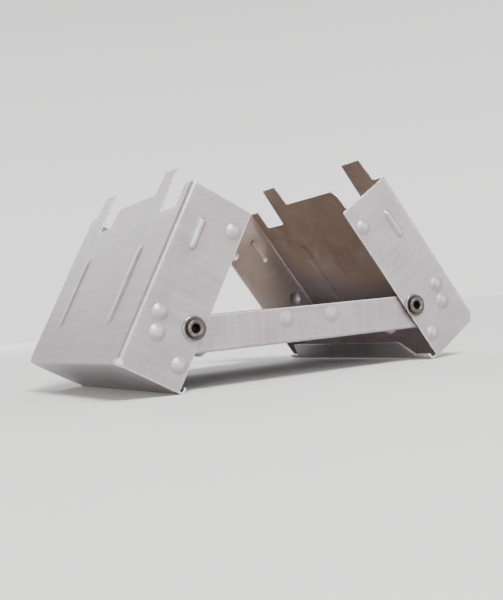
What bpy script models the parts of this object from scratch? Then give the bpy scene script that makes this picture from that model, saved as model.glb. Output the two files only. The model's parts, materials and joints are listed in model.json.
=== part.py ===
"""Folding pocket stove for solid-fuel tablets, standing open with its wings leaning inwards.

Two stamped and folded steel wings hinge on rivets at the ends of a shallow tray. Folded shut they
meet over the tray and make a flat box. Opened by 60 or 90 degrees they stand on their end walls, and the
tabs along their top edges carry the pot over a fuel tablet that lies in the tray.

The origin is on the ground under the middle of the tray. +X runs along the tray from the left wing to the
right wing, and the front is at -Y.
"""

import math

import bmesh
import bpy
from mathutils import Matrix, Vector, geometry

MM = 0.001

# Driving dimensions, in millimetres
SHEET = 0.5
CORNER_RADIUS = 0.7  # of the blanks' outlines
HALF_LENGTH = 49.0  # folded box, centre to end
WING_HALF_WIDTH = 38.5
HINGE_FROM_END = 15.7
HINGE_DEPTH = 14.9  # from the wing's plate to the hinge axis
OPENED = {"left": math.radians(60), "right": math.radians(57)}  # from the folded box; the right wing lags
SIDE_DEPTH = 17.6
FOOT_DEPTH = 19.2  # end wall, past the side walls' free edges
SIDE_BEND = 1.2  # outer radius of the folds along the plate's sides
END_BEND = 0.8  # and of the fold to the end wall
CORNER_RELIEF = 0.7  # cut out of the blank's corners, past the folds that meet there
FOOT_BEND = 1.0  # outer radius of the fold that the stove stands on
FOOT_GAP = 0.2  # between the foot's ends and the side walls' inner skins
MEETING_GAP = 0.3  # each wing stops this far short of the middle when shut

FLAP_RISE = 6.3  # height of the flap that is turned up from the foot
FLAP_STRIP = 2.0  # its full-width strip beside the fold
FLAP_ENDS = ((-32.5, -30.5), (31.5, 27.0))  # its sloping ends, each from the strip to the free edge
TAB_RISE = 6.5  # tab past the middle of the folded box
TAB_CLEARANCE = 0.4
SLOT_EDGES = (13.8, 23.4, 33.5)  # where a tab or its notch lies, from the wing's centreline
SLOT_CHAMFER = (1.8, 1.6)  # where a notch meets the middle of the top edge: down the notch, along the edge

WALL_GAP = 0.6  # between a tray wall and a wing's side wall
TRAY_HALF_WIDTH = WING_HALF_WIDTH - SHEET - WALL_GAP
TRAY_HALF_LENGTH = 46.3  # ears of the tray walls
FLOOR_HALF_LENGTH = 41.0
TRAY_BEND = 0.8
FLOOR_DROP = 6.2  # underside of the floor below the hinge axis
WALL_TOP = 2.85  # above the hinge axis
LIP_RISE = 2.8
LIP_TAPER = 1.5
TRAY_RELIEF = 0.4  # cut between a lip and the ears beside it
EAR_RISE = 2.4  # underside of an ear above the underside of the floor

DIMPLE_RADIUS = 2.2
DIMPLE_RISE = 0.8
TRAY_DIMPLE_RISE = 0.5
CROWN = 1.3  # a stamping rises as (1 - t * t) to this power, which makes its rim crisp
DETENT_RADIUS = 9.7  # from the hinge axis
DETENT_OPENINGS = (0, 60, 90)
LATCH_REACH = 26.4  # hinge axis to the dimple that holds the box shut
RIB_REACH = (33.8, 40.4)  # rib pressed in each side wall: its ends, from the wing's end
RIB_DEPTH = 6.2
RIB_RADIUS = 1.2
RIB_RISE = 0.7
PLATE_BEAD_REACH = (12.5, 31.0)
PLATE_BEAD_OFFSET = 21.0
PLATE_BEAD_RADIUS = 2.2
PLATE_BEAD_RISE = 0.35
TRAY_FOOT = (29.6, 31.5)  # dimples under the floor, from its middle
TRAY_FOOT_RISE = 1.1

RIVET_RADIUS = 1.7
RIVET_BORE = 1.1
RIVET_HEAD = 3.0
RIVET_HEAD_HEIGHT = 0.5
RIVET_ROLL = 2.25  # outer radius of the rolled rim
RIVET_ROLL_RISE = 0.6
RIVET_BEVEL = 0.25
RIVET_CLEARANCE = 0.1
STACK_GAP = 0.05
WASHER_RADIUS = 3.15
WASHER_THICKNESS = 0.5
WASHER_BEVEL = 0.2

TABLET_LENGTH = 36.0
TABLET_WIDTH = 18.0
TABLET_CORNER = 3.6
# Its skin from the foot up, as (height, inset): a proud rim low on its sides and a rounded upper edge
TABLET_SKIN = ((0.0, 0.9), (0.7, 0.1), (1.1, 0.0), (2.3, 0.0), (2.7, 0.7), (5.2, 0.9), (6.0, 1.3), (6.4, 2.2))
TABLET_LIFT = 0.1  # it lies this far above the beads
BEAD_RISE = 0.8
BEAD_OFFSET = 5.5
BEAD_HALF_LENGTH = 24.0
BEAD_RADIUS = 2.2

# Fineness of the solids
BEND_STEPS = 3
RING_STEPS = 12
RING_SHARES = (1.0, 0.86, 0.5)
ROUND_STEPS = 24
SHARP = math.radians(35)
CORNER_STEPS = 2
ROLL_STEPS = 6

LEAN = math.pi / 2 - OPENED["left"]
HINGE_X = HALF_LENGTH - HINGE_FROM_END
WING_REACH = HALF_LENGTH - MEETING_GAP
# The foot fold's centre lies above its lowest point by the fold's radius. The left wing, opened further,
# stands on the ground. The right wing's foot is a quarter of a millimetre above it, which the rivets' play
# takes up.
HINGE_HEIGHT = (
    (HINGE_FROM_END - FOOT_BEND) * math.cos(LEAN)
    + (FOOT_DEPTH - FOOT_BEND - HINGE_DEPTH) * math.sin(LEAN)
    + FOOT_BEND
)


# Small outlines


def rounded(corners, radius, steps=CORNER_STEPS):
    """The polygon with each corner replaced by an arc-like run, smaller where a side is short."""
    points = []
    for i, corner in enumerate(corners):
        before = Vector(corners[i - 1]) - Vector(corner)
        after = Vector(corners[(i + 1) % len(corners)]) - Vector(corner)
        cut = min(radius, before.length * 0.45, after.length * 0.45)
        start = Vector(corner) + before.normalized() * cut
        end = Vector(corner) + after.normalized() * cut
        for k in range(steps + 1):
            t = k / steps
            points.append((1 - t) ** 2 * start + 2 * t * (1 - t) * Vector(corner) + t**2 * end)
    return points


def around(start, end, radius, steps=RING_STEPS):
    """A closed line at one distance from the stretch from start to end: a circle if they are one point."""
    start, end = Vector(start), Vector(end)
    along = math.atan2(end.y - start.y, end.x - start.x) if start != end else 0.0
    points = []
    for k in range(steps):
        angle = along - math.pi / 2 + 2 * math.pi * (k + 0.5) / steps
        centre = end if k < steps / 2 else start
        points.append(centre + radius * Vector((math.cos(angle), math.sin(angle))))
    return points


def holds(polygon, point):
    """Whether the polygon's inside holds the point."""
    inside = False
    for i, p in enumerate(polygon):
        q = polygon[i - 1]
        if (p.y > point.y) != (q.y > point.y):
            if point.x < p.x + (point.y - p.y) * (q.x - p.x) / (q.y - p.y):
                inside = not inside
    return inside


# Stamped and folded sheet


class Fold:
    """The section of a sheet that leaves a flat panel: bends of a radius, each followed by a flat run."""

    def __init__(self, *bends):
        self.bends = bends

    def length(self):
        return sum(radius * math.pi / 2 + flat for radius, flat in self.bends)

    def lines(self):
        """Distances from the panel at which the blank needs a line, so that it can bend there."""
        found, s = [], 0.0
        for radius, flat in self.bends:
            arc = radius * math.pi / 2
            found += [s + arc * k / BEND_STEPS for k in range(BEND_STEPS + 1)]
            s += arc + flat
        return found

    def point(self, s, inset):
        """(away, down) of the point s along the outer skin and inset below it."""
        away, down, heading = 0.0, 0.0, 0.0
        for radius, flat in self.bends:
            turn = min(max(s / radius, 0.0), math.pi / 2)
            sine, cosine = math.sin(turn), math.cos(turn)
            ahead, aside = radius * sine, radius * (1 - cosine)
            away += ahead * math.cos(heading) - aside * math.sin(heading)
            down += ahead * math.sin(heading) + aside * math.cos(heading)
            heading += turn
            s -= radius * math.pi / 2
            run = min(max(s, 0.0), flat)
            away += run * math.cos(heading)
            down += run * math.sin(heading)
            s -= flat
            if s <= 0:
                break
        return away - inset * math.sin(heading), down + inset * math.cos(heading)


class Blank:
    """A flat blank, with its stampings and folds. u and v are flat coordinates, in millimetres."""

    def __init__(self, outline, side_line, side_fold, low_line, low_fold, high_line=None, high_fold=None):
        self.outline = outline
        self.side_line, self.side_fold = side_line, side_fold
        # The side walls start here. Nearer the low end, the sheet past the side line belongs to the end.
        self.side_start = min(p.x for p in outline if abs(p.y) > side_line + side_fold.bends[0][0] * 2)
        self.low_line, self.low_fold = low_line, low_fold
        self.high_line, self.high_fold = high_line, high_fold
        self.stampings = []
        self.holes = []

    def stamp(self, start, end, radius, rise):
        """Presses a dimple, or a bead where start and end differ, towards the outer skin."""
        self.stampings.append((Vector(start), Vector(end), radius, rise))

    def punch(self, centre, radius):
        self.holes.append(around(centre, centre, radius, ROUND_STEPS))

    def on_side(self, depth):
        """v of a point on a side wall, that far below the panel's outer skin."""
        radius = self.side_fold.bends[0][0]
        return self.side_line + radius * math.pi / 2 + depth - radius

    def rise_at(self, point):
        """How far the stampings push the sheet out at that point of the blank."""
        total = 0.0
        for start, end, radius, rise in self.stampings:
            nearest = start
            if start != end:
                share = (point - start).dot(end - start) / (end - start).length_squared
                nearest = start.lerp(end, min(max(share, 0.0), 1.0))
            t = (point - nearest).length / radius
            if t < 1:
                total += rise * (1 - t * t) ** CROWN
        return total

    def place(self, point, inset):
        """Where the folded sheet has this point of the blank: x, y, and z down from the panel's skin."""
        u, v = point
        inset -= self.rise_at(point)
        if abs(v) > self.side_line and u > self.side_start - 0.01:
            away, down = self.side_fold.point(abs(v) - self.side_line, inset)
            return u, math.copysign(self.side_line + away, v), down
        if u < self.low_line:
            away, down = self.low_fold.point(self.low_line - u, inset)
            return self.low_line - away, v, down
        if self.high_fold and u > self.high_line:
            away, down = self.high_fold.point(u - self.high_line, inset)
            return self.high_line + away, v, down
        return u, v, inset

    def bend_lines(self):
        """Lines across the blank, each as two points, along which it bends."""
        far = 2 * HALF_LENGTH
        lines = []
        for s in self.side_fold.lines():
            for side in (-1, 1):
                v = side * (self.side_line + s)
                lines.append((Vector((self.side_start, v)), Vector((far, v))))
        across = self.side_line + self.side_fold.bends[0][0]
        for line, fold, way in ((self.low_line, self.low_fold, -1), (self.high_line, self.high_fold, 1)):
            for s in fold.lines() if fold else ():
                u = line + way * s
                lines.append((Vector((u, -across)), Vector((u, across))))
        return lines

    def triangles(self):
        """Points and triangles of the blank, with a line at each bend and rings round each stamping."""
        loops = [self.outline, *self.holes]
        for start, end, radius, _ in self.stampings:
            loops += [around(start, end, radius * share) for share in RING_SHARES]
        points, edges = [], []
        for loop in loops:
            first = len(points)
            points += loop
            edges += [(first + k, first + (k + 1) % len(loop)) for k in range(len(loop))]
        for ends in self.bend_lines():
            edges.append((len(points), len(points) + 1))
            points += ends
        for start, end, _, _ in self.stampings:
            points += [start] if start == end else [start, end]
        points, _, faces, *_ = geometry.delaunay_2d_cdt(points, edges, [], 0, 1e-5)
        kept = []
        for face in faces:
            middle = sum((points[i] for i in face), Vector((0, 0))) / 3
            if holds(self.outline, middle) and not any(holds(hole, middle) for hole in self.holes):
                kept.append(face)
        return points, kept

    def mesh(self, name, to_object):
        """The folded sheet as a closed mesh. to_object turns millimetres x, y, down into the object's own."""
        points, faces = self.triangles()
        sheet = bmesh.new()
        flat = [sheet.verts.new((p.x, p.y, 0.0)) for p in points]
        for face in faces:
            sheet.faces.new([flat[i] for i in face])
        bmesh.ops.delete(sheet, geom=[v for v in sheet.verts if not v.link_faces], context="VERTS")
        grown = bmesh.ops.extrude_face_region(sheet, geom=sheet.faces[:], use_keep_orig=True)
        inner = {v for v in grown["geom"] if isinstance(v, bmesh.types.BMVert)}
        for v in sheet.verts:
            at = self.place(v.co.xy, SHEET if v in inner else 0.0)
            v.co = to_object @ (Vector(at) * MM)
        bmesh.ops.recalc_face_normals(sheet, faces=sheet.faces[:])
        mesh = bpy.data.meshes.new(name)
        sheet.to_mesh(mesh)
        sheet.free()
        return mesh


# Objects


def clear_scene():
    for obj in list(bpy.data.objects):
        bpy.data.objects.remove(obj, do_unlink=True)


def material(name, colour, roughness, metallic):
    made = bpy.data.materials.new(name)
    made.use_nodes = True
    shader = made.node_tree.nodes["Principled BSDF"]
    shader.inputs["Base Color"].default_value = (*colour, 1.0)
    shader.inputs["Roughness"].default_value = roughness
    shader.inputs["Metallic"].default_value = metallic
    return made


def add_object(name, mesh, finish, location=(0, 0, 0), turn=None, parent=None):
    """Adds one named solid, shaded smooth except along its cut edges."""
    mesh.shade_smooth()
    mesh.set_sharp_from_angle(angle=SHARP)
    if not mesh.materials:
        mesh.materials.append(finish)
    obj = bpy.data.objects.new(name, mesh)
    bpy.context.scene.collection.objects.link(obj)
    obj.parent = parent
    obj.location = Vector(location) * MM
    obj.rotation_mode = "QUATERNION"
    if turn is not None:
        obj.rotation_quaternion = turn.to_quaternion()
    return obj


def top_edge():
    """The wing's top edge from the back to the front, as (reach, y). Each half has one tab and one notch."""
    inner, middle, outer = SLOT_EDGES
    low = WING_REACH - TAB_RISE
    high = HALF_LENGTH + TAB_RISE
    gap, taper = TAB_CLEARANCE, 0.5
    down, along = SLOT_CHAMFER
    return [
        (WING_REACH, outer - gap),
        (high, outer - gap - taper),
        (high, middle + gap),
        (low, middle + gap / 2),
        (low, inner),
        (WING_REACH - down, inner - taper),
        (WING_REACH, inner - taper - along),
        (WING_REACH, -inner - gap),
        (high, -inner - gap - taper),
        (high, -middle + gap + taper),
        (low, -middle + gap / 2),
        (low, -outer),
        (WING_REACH, -outer),
    ]


def wing_blank():
    """The flat blank of one wing. u is the distance from the end wall, and v goes across the wing."""
    panel = WING_HALF_WIDTH - SIDE_BEND
    side_fold = Fold((SIDE_BEND, SIDE_DEPTH - SIDE_BEND))
    foot_fold = Fold((END_BEND, FOOT_DEPTH - END_BEND - FOOT_BEND), (FOOT_BEND, FLAP_RISE - FOOT_BEND))
    free = panel + side_fold.length()
    wall = panel + SIDE_BEND * math.pi / 2
    relief = CORNER_RELIEF
    end_half = WING_HALF_WIDTH - SHEET - FOOT_GAP
    tip = END_BEND - foot_fold.length()
    strip = tip + FLAP_RISE - FLAP_STRIP
    below_bend = END_BEND * (1 - math.pi / 2) - relief
    side = [
        (END_BEND + relief, panel - relief),
        (END_BEND + relief, wall),
        (0.0, wall + relief),
        (0.0, free),
        (WING_REACH, free),
    ]
    foot = [
        (below_bend, -panel + relief),
        (below_bend - relief, -end_half),
        (strip, -end_half),
        (strip, FLAP_ENDS[0][0]),
        (tip, FLAP_ENDS[0][1]),
        (tip, FLAP_ENDS[1][1]),
        (strip, FLAP_ENDS[1][0]),
        (strip, end_half),
        (below_bend - relief, end_half),
        (below_bend, panel - relief),
    ]
    outline = foot + side + top_edge() + [(u, -v) for u, v in reversed(side)]
    blank = Blank(rounded(outline, CORNER_RADIUS), panel, side_fold, END_BEND, foot_fold)
    for side in (-1, 1):
        hinge = Vector((HINGE_FROM_END, side * blank.on_side(HINGE_DEPTH)))
        blank.punch(hinge, RIVET_RADIUS + RIVET_CLEARANCE)
        for opened in DETENT_OPENINGS:
            angle = math.radians(180 + side * opened)
            spot = hinge + DETENT_RADIUS * Vector((math.cos(angle), math.sin(angle)))
            blank.stamp(spot, spot, DIMPLE_RADIUS, DIMPLE_RISE)
        latch = hinge + Vector((LATCH_REACH, 0.0))
        blank.stamp(latch, latch, DIMPLE_RADIUS, DIMPLE_RISE)
        rib = side * blank.on_side(RIB_DEPTH)
        blank.stamp(*((reach, rib) for reach in RIB_REACH), RIB_RADIUS, RIB_RISE)
        bead = side * PLATE_BEAD_OFFSET
        blank.stamp(*((reach, bead) for reach in PLATE_BEAD_REACH), PLATE_BEAD_RADIUS, PLATE_BEAD_RISE)
    return blank


def add_wing(side_name, finish, hinge, side):
    """One wing, opened about its hinge. The right wing is the left one turned half round."""
    # x, y, down from the plate's skin, seen from the hinge axis
    to_hinge = Matrix.Translation(Vector((-HINGE_FROM_END, 0, HINGE_DEPTH)) * MM)
    to_hinge @= Matrix.Diagonal((1, 1, -1, 1))
    mesh = wing_blank().mesh(f"{side_name}_wing", to_hinge)
    half_turn = Matrix.Rotation(math.pi if side > 0 else 0.0, 3, "Z")
    opening = Matrix.Rotation(side * OPENED[side_name], 3, "Y")
    return add_object(mesh.name, mesh, finish, turn=opening @ half_turn, parent=hinge)


def tray_blank():
    """The flat blank of the tray. u runs along it from the left, and v goes across it."""
    panel = TRAY_HALF_WIDTH - TRAY_BEND
    height = FLOOR_DROP + WALL_TOP
    side_fold = Fold((TRAY_BEND, height - TRAY_BEND))
    lip_fold = Fold((TRAY_BEND, LIP_RISE - TRAY_BEND))
    end = FLOOR_HALF_LENGTH - TRAY_BEND
    tip = end + lip_fold.length()
    free = panel + side_fold.length()
    arc_end = panel + TRAY_BEND * math.pi / 2
    ear = arc_end + EAR_RISE - TRAY_BEND
    quarter = [
        (tip, panel - LIP_TAPER),
        (end, panel - TRAY_RELIEF),
        (end, ear),
        (TRAY_HALF_LENGTH, ear),
        (TRAY_HALF_LENGTH, free),
    ]
    half = quarter + [(-u, v) for u, v in reversed(quarter)]
    outline = half + [(-u, -v) for u, v in half]
    blank = Blank(rounded(outline, CORNER_RADIUS), panel, side_fold, -end, lip_fold, end, lip_fold)
    level = blank.on_side(FLOOR_DROP)
    for side in (-1, 1):
        for end_sign in (-1, 1):
            hinge = Vector((end_sign * HINGE_X, side * level))
            blank.punch(hinge, RIVET_RADIUS + STACK_GAP)
            for reach in (DETENT_RADIUS, -LATCH_REACH):
                spot = hinge + Vector((end_sign * reach, 0.0))
                blank.stamp(spot, spot, DIMPLE_RADIUS, TRAY_DIMPLE_RISE)
            foot = (end_sign * TRAY_FOOT[0], side * TRAY_FOOT[1])
            blank.stamp(foot, foot, DIMPLE_RADIUS, TRAY_FOOT_RISE)
        bead = side * BEAD_OFFSET
        blank.stamp((-BEAD_HALF_LENGTH, bead), (BEAD_HALF_LENGTH, bead), BEAD_RADIUS, -BEAD_RISE)
    return blank


def add_tray(finish, parent):
    # The tray's panel is its floor, whose outer skin is underneath, so down from it is up here.
    to_hinge_line = Matrix.Translation(Vector((0, 0, -FLOOR_DROP)) * MM)
    mesh = tray_blank().mesh("base_tray", to_hinge_line)
    return add_object(mesh.name, mesh, finish, parent=parent)


def turned(name, profile):
    """A solid turned about Y from a profile of (distance out from the hinge's plane, radius).

    The profile starts and ends on the axis, or it is closed and the solid is a ring.
    """
    ring = bmesh.new()
    corners = [ring.verts.new((radius * MM, out * MM, 0.0)) for out, radius in profile]
    sides = [ring.edges.new(pair) for pair in zip(corners, corners[1:])]
    if profile[0][1] > 0:
        sides.append(ring.edges.new((corners[-1], corners[0])))
    bmesh.ops.spin(
        ring, geom=corners + sides, cent=(0, 0, 0), axis=(0, 1, 0), angle=2 * math.pi, steps=ROUND_STEPS,
        use_merge=True,
    )
    bmesh.ops.remove_doubles(ring, verts=ring.verts[:], dist=1e-7)
    bmesh.ops.recalc_face_normals(ring, faces=ring.faces[:])
    mesh = bpy.data.meshes.new(name)
    ring.to_mesh(mesh)
    ring.free()
    return mesh


def rivet_profile():
    """A semi-tubular rivet: head inside the tray, shank through both walls, rim rolled over the washer."""
    head_top = TRAY_HALF_WIDTH - SHEET - STACK_GAP
    roll_foot = WING_HALF_WIDTH + WASHER_THICKNESS + 2 * STACK_GAP
    roll_radius = (RIVET_ROLL - RIVET_BORE) / 2
    crown = []
    for k in range(ROLL_STEPS + 1):
        angle = math.pi * k / ROLL_STEPS
        across = RIVET_BORE + roll_radius * (1 + math.cos(angle))
        crown.append((roll_foot + WASHER_BEVEL + RIVET_ROLL_RISE * math.sin(angle), across))
    return [
        (head_top - RIVET_HEAD_HEIGHT, 0.0),
        (head_top - RIVET_HEAD_HEIGHT, RIVET_HEAD - RIVET_BEVEL),
        (head_top - RIVET_HEAD_HEIGHT + RIVET_BEVEL, RIVET_HEAD),
        (head_top, RIVET_HEAD),
        (head_top, RIVET_RADIUS),
        (roll_foot, RIVET_RADIUS),
        (roll_foot, RIVET_ROLL - STACK_GAP),
        *crown,
        (head_top + SHEET, RIVET_BORE),
        (head_top + SHEET / 2, 0.0),
    ]


def washer_profile():
    inner = WING_HALF_WIDTH + STACK_GAP
    outer = inner + WASHER_THICKNESS
    bore = RIVET_RADIUS + STACK_GAP
    return [
        (inner, bore),
        (inner, WASHER_RADIUS),
        (outer - WASHER_BEVEL, WASHER_RADIUS),
        (outer, WASHER_RADIUS - WASHER_BEVEL),
        (outer, bore),
    ]


def add_hinge_hardware(rivet_finish, washer_finish, hinges):
    """A rivet and a washer at each of the four hinge points, front and back of each wing."""
    rivet = turned("rivet", rivet_profile())
    washer = turned("washer", washer_profile())
    for side_name, hinge in hinges.items():
        for face_name, turn in (("front", Matrix.Rotation(math.pi, 3, "Z")), ("back", Matrix.Identity(3))):
            place = f"{face_name}_{side_name}"
            add_object(f"hinge_rivet_{place}", rivet, rivet_finish, turn=turn, parent=hinge)
            add_object(f"hinge_washer_{place}", washer, washer_finish, turn=turn, parent=hinge)


def tablet_mesh():
    """A pressed slab with rounded corners."""
    slab = bmesh.new()
    loops = []
    for height, inset in TABLET_SKIN:
        half_x, half_y = TABLET_LENGTH / 2 - inset, TABLET_WIDTH / 2 - inset
        corners = [(half_x, half_y), (-half_x, half_y), (-half_x, -half_y), (half_x, -half_y)]
        ring = rounded(corners, TABLET_CORNER - inset, 2 * CORNER_STEPS)
        loops.append([slab.verts.new((p.x * MM, p.y * MM, height * MM)) for p in ring])
    for low, high in zip(loops, loops[1:]):
        for k in range(len(low)):
            slab.faces.new((low[k - 1], low[k], high[k], high[k - 1]))
    slab.faces.new(loops[0])
    slab.faces.new(loops[-1])
    bmesh.ops.recalc_face_normals(slab, faces=slab.faces[:])
    mesh = bpy.data.meshes.new("fuel_tablet")
    slab.to_mesh(mesh)
    slab.free()
    return mesh


def add_empty(name, location):
    empty = bpy.data.objects.new(name, None)
    bpy.context.scene.collection.objects.link(empty)
    empty.location = Vector(location) * MM
    return empty


def main():
    clear_scene()
    steel = material("zinc_plated_steel", (0.60, 0.58, 0.58), 0.42, 0.9)
    rivet_steel = material("rivet_steel", (0.62, 0.60, 0.58), 0.25, 1.0)
    washer_steel = material("washer_steel", (0.30, 0.27, 0.26), 0.35, 1.0)
    fuel = material("pressed_fuel", (0.86, 0.86, 0.83), 0.8, 0.0)
    tray_line = add_empty("tray_line", (0, 0, HINGE_HEIGHT))
    hinges = {
        "left": add_empty("left_hinge", (-HINGE_X, 0, HINGE_HEIGHT)),
        "right": add_empty("right_hinge", (HINGE_X, 0, HINGE_HEIGHT)),
    }
    add_tray(steel, tray_line)
    add_wing("left", steel, hinges["left"], -1)
    add_wing("right", steel, hinges["right"], 1)
    add_hinge_hardware(rivet_steel, washer_steel, hinges)
    on_beads = HINGE_HEIGHT - FLOOR_DROP + SHEET + BEAD_RISE + TABLET_LIFT
    add_object("fuel_tablet", tablet_mesh(), fuel, (0, 0, on_beads))


main()
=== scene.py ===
"""Looks of the folding pocket stove: fine folded sheet, hinge rivets and washers, and the fuel tablet."""

import json
import math

import bmesh
import bpy
import numpy as np
from mathutils import Matrix, Vector, geometry


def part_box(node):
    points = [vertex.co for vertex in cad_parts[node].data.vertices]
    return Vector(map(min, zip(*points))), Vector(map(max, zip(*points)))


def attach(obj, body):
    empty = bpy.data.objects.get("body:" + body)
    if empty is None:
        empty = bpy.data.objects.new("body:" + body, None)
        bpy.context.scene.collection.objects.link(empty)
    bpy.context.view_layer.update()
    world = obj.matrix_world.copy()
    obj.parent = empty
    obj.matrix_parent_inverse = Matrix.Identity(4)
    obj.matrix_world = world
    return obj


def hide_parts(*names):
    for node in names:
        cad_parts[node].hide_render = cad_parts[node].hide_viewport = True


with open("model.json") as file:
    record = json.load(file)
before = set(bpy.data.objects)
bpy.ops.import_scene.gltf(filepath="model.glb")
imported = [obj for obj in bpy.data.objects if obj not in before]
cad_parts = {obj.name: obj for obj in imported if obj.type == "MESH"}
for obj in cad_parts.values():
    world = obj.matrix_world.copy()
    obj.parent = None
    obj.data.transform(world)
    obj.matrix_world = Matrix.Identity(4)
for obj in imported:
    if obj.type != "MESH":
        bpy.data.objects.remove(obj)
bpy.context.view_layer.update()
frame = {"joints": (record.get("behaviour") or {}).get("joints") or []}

MM = 0.001

# The shape, in millimetres, as the CAD has it
SHEET = 0.5
CORNER_RADIUS = 0.7
HALF_LENGTH = 49.0
WING_HALF_WIDTH = 38.5
HINGE_FROM_END = 15.7
HINGE_DEPTH = 14.9
OPENED = {"left": math.radians(60), "right": math.radians(57)}
SIDE_DEPTH = 17.6
FOOT_DEPTH = 19.2
SIDE_BEND = 1.2
END_BEND = 0.8
CORNER_RELIEF = 0.7
FOOT_BEND = 1.0
FOOT_GAP = 0.2
MEETING_GAP = 0.3
FLAP_RISE = 6.3
FLAP_STRIP = 2.0
FLAP_ENDS = ((-32.5, -30.5), (31.5, 27.0))
TAB_RISE = 6.5
TAB_CLEARANCE = 0.4
TAB_TAPER = 0.5
SLOT_EDGES = (13.8, 23.4, 33.5)
SLOT_CHAMFER = (1.8, 1.6)
WALL_GAP = 0.6
TRAY_HALF_WIDTH = WING_HALF_WIDTH - SHEET - WALL_GAP
TRAY_HALF_LENGTH = 46.3
FLOOR_HALF_LENGTH = 41.0
TRAY_BEND = 0.8
FLOOR_DROP = 6.2
WALL_TOP = 2.85
LIP_RISE = 2.8
LIP_TAPER = 1.5
TRAY_RELIEF = 0.4
EAR_RISE = 2.4
DIMPLE_RADIUS = 2.2
DIMPLE_RISE = 0.8
TRAY_DIMPLE_RISE = 0.5
CROWN = 1.3
DETENT_RADIUS = 9.7
DETENT_OPENINGS = (0, 60, 90)
LATCH_REACH = 26.4
RIB_REACH = (33.8, 40.4)
RIB_DEPTH = 6.2
RIB_RADIUS = 1.2
RIB_RISE = 0.7
PLATE_BEAD_REACH = (12.5, 31.0)
PLATE_BEAD_OFFSET = 21.0
PLATE_BEAD_RADIUS = 2.2
PLATE_BEAD_RISE = 0.35
TRAY_FOOT = (29.6, 31.5)
TRAY_FOOT_RISE = 1.1
RIVET_RADIUS = 1.7
RIVET_BORE = 1.1
RIVET_HEAD = 3.0
RIVET_HEAD_HEIGHT = 0.5
RIVET_HEAD_FACE = 0.9  # radius of the head's flat middle
RIVET_HEAD_EDGE = ((0.5, 0.5), (0.44, 0.22), (0.3, 0.06), (0.12, 0.0), (0.0, 0.05))  # (up, in from the rim)
RIVET_ROLL = 2.25
RIVET_ROLL_START = 0.2
RIVET_ROLL_RISE = 0.6
RIVET_ROLL_TUCK = 0.15
RIVET_BORE_END = ((1.2, 1.0), (0.6, 0.8), (0.35, 0.4), (0.3, 0.0))  # (above the head, share of the bore)
RIVET_CLEARANCE = 0.1
STACK_GAP = 0.05
WASHER_RADIUS = 3.15
WASHER_THICKNESS = 0.5
WASHER_BREAK = 0.06
WASHER_EDGE = ((0.22, 0.0), (0.1, 0.04), (0.03, 0.12), (0.0, 0.26))  # (under the face, in from the rim)
WASHER_BORE_BREAK = 0.08
TABLET_FOOT = ((0.0, 1.0), (0.25, 0.55), (0.7, 0.12), (1.1, 0.0), (2.2, 0.0))  # (height, inset)
TABLET_STEP = ((2.5, 0.12), (2.7, 0.55), (2.85, 0.75), (4.2, 0.85))
TABLET_TOP = ((1.3, 0.95), (0.8, 1.1), (0.4, 1.45), (0.12, 1.95), (0.0, 2.6))  # (below the top, inset)
TABLET_CORNER = (3.6, 1.2)  # the corner's radius at no inset, and the least
BEAD_RISE = 0.8
BEAD_OFFSET = 5.5
BEAD_HALF_LENGTH = 24.0
BEAD_RADIUS = 2.2
WING_REACH = HALF_LENGTH - MEETING_GAP
HINGE_X = HALF_LENGTH - HINGE_FROM_END
ROLL_FOOT = WING_HALF_WIDTH + WASHER_THICKNESS + 2 * STACK_GAP

# Fineness
BEND_STEPS = 9
RING_STEPS = 32
RING_SHARES = (1.08, 1.0, 0.965, 0.92, 0.86, 0.78, 0.66, 0.5, 0.28)
HOLE_STEPS = 48
TURN_STEPS = 72
ROLL_STEPS = 16
CORNER_STEPS = 6
TABLET_CORNER_STEPS = 12
BEAD_STEPS = 8
EDGE_BREAK = 0.07  # how far a cut edge is rounded off
EDGE_BANDS = (0.07, 0.4)  # lines beside the cut edges, which carry their wear
GRID = 3.5
GRID_FROM_EDGE = 0.6
GRID_FROM_STAMPING = 1.2  # in the stamping's radii
FOLD_WEAR_AND_HIGHLIGHT = 0.8  # how far beside a fold its wear and painted highlight reach
EDGE_LIMIT = 6.0  # the largest stored distance to a cut edge
DOME_LIMIT = 3.0  # the largest stored distance to a stamping, in its radii
SAME_POINT = 1e-7  # metres
SHARP = math.radians(52)

# The flame's heat, as distances in millimetres
FLAME_RADIUS = 12.0
FLAME_FOOT = 12.0  # above the hinges
ACROSS_SHARE = 0.8  # how much a step across the tray counts
BELOW_SHARE = 1.6  # how much a step down from the flame's foot counts
HEAT_AT_FLAME = 1.25
HEAT_REACH = 34.0

# Colours
WING_ZINC = (0.35, 0.322, 0.332)
TRAY_ZINC = (0.36, 0.325, 0.340)
WARM_ZINC = (1.03, 0.975, 1.01)  # casts, by which the zinc's colour is multiplied
COOL_ZINC = (0.985, 1.005, 1.0)
# lighter zinc where the sheet is worn, also laid along the folds as a painted highlight
WORN_AND_HIGHLIGHT_ZINC = (0.88, 0.86, 0.85)
SCRATCHED_ZINC = (0.85, 0.83, 0.82)
# grime and painted shade: the dark ring laid in the crease at each stamping's foot
SHEET_GRIME_AND_SHADE = (0.16, 0.15, 0.14)
HEAT_TINTS = (  # (heat at which it starts, heat at which it is full, its share then, colour)
    (0.04, 0.32, 0.7, (0.42, 0.34, 0.27)),
    (0.26, 0.62, 0.75, (0.185, 0.12, 0.088)),
    (0.55, 0.95, 0.6, (0.09, 0.07, 0.06)),
)
RIVET_STEEL = (0.34, 0.30, 0.285)
# the colour towards which the rivet is painted darker: in its bore, at its rim's foot and over its outer
# end
RIVET_DARKENED = (0.04, 0.035, 0.03)
# the washer's tone, painted dark: it stands in for the dark surroundings that the polished washer reflects
WASHER_PAINTED_REFLECTION = (0.10, 0.085, 0.08)
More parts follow.
